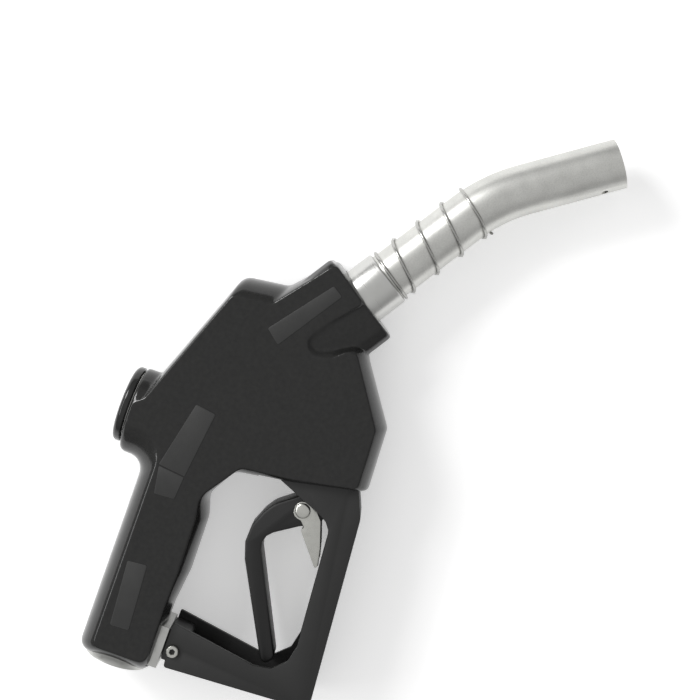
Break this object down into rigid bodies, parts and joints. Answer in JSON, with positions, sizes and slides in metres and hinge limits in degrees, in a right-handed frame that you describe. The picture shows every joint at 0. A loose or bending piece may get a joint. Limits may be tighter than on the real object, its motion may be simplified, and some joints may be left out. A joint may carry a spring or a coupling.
{
  "type": "automatic fuel nozzle",
  "caption": "Hand-held automatic shut-off fuel nozzle with a covered body, guarded lever with a hold-open clip, and a bent tubular spout with an anchor spring.",
  "frame": {"origin": "centre of the hose inlet face at the end of the grip", "axes": "+X runs up the grip from the inlet to the body, +Y points to the valve cap and away from the lever, +Z is the width across the cheeks; the nozzle lies on its -Z cheek"},
  "size_m": [0.3684, 0.2259, 0.045],
  "materials": {
    "black_vinyl": "glossy dip-moulded black vinyl with a fine pebble",
    "cast_aluminium": "as cast, tumbled",
    "satin_aluminium": "satin drawn tube",
    "plated_steel": "bright zinc plate",
    "black_coating": "matte black powder coat",
    "black_rubber": "matte",
    "black_polymer": "machined acetal",
    "brass": "turned"
  },
  "bodies": {
    "body": {"body_casting": "cast_aluminium", "hand_insulator": "black_vinyl", "valve_cap": "black_vinyl", "main_spring": "plated_steel", "stem_packing": "black_rubber", "packing_nut": "plated_steel", "shutoff_retainer": "cast_aluminium", "diaphragm": "black_rubber", "diaphragm_spring": "plated_steel", "lever_guard": "black_coating", "guard_screw": "plated_steel", "guard_nut": "plated_steel", "guard_pin": "plated_steel", "hold_open_rack": "plated_steel", "spout_adapter": "satin_aluminium", "spout_tube": "satin_aluminium", "air_tube": "satin_aluminium", "anchor_spring": "plated_steel", "spout_seal": "black_rubber", "check_guide": "black_polymer", "check_spring": "plated_steel"},
    "valve": {"main_poppet": "brass", "poppet_seal": "black_rubber"},
    "trip": {"trip_stem": "plated_steel", "lever_pin": "plated_steel"},
    "lever": {"hand_lever": "black_coating", "clip_rivet": "plated_steel", "clip_spring": "plated_steel"},
    "clip": {"hold_open_clip": "plated_steel"},
    "check": {"check_poppet": "black_polymer"}
  },
  "joints": [
    {"name": "trip_slide", "type": "slide", "parent": "body", "child": "trip", "axis": [-1, 0, 0], "range_m": [0, 0.0038], "stiffness_N_per_m": 400},
    {"name": "lever_squeeze", "type": "hinge", "parent": "trip", "child": "lever", "pos_m": [0.148, -0.078, 0], "axis": [0, 0, -1], "range_deg": [0, 18], "stiffness_Nm_per_rad": 2},
    {"name": "clip_swing", "type": "hinge", "parent": "lever", "child": "clip", "pos_m": [0.1147, -0.0716, 0], "axis": [0, 0, 1], "range_deg": [0, 24], "stiffness_Nm_per_rad": 0.01},
    {"name": "valve_lift", "type": "slide", "parent": "body", "child": "valve", "axis": [0, 1, 0], "range_m": [0, 0.0051], "deforming": ["main_spring"]},
    {"name": "check_lift", "type": "slide", "parent": "body", "child": "check", "axis": [0.8368, -0.5476, 0], "range_m": [0, 0.006], "stiffness_N_per_m": 100, "deforming": ["check_spring"]}
  ],
  "couplings": [
    {"joint": "valve_lift", "follows": "lever_squeeze", "m_per_rad": 0.016}
  ]
}
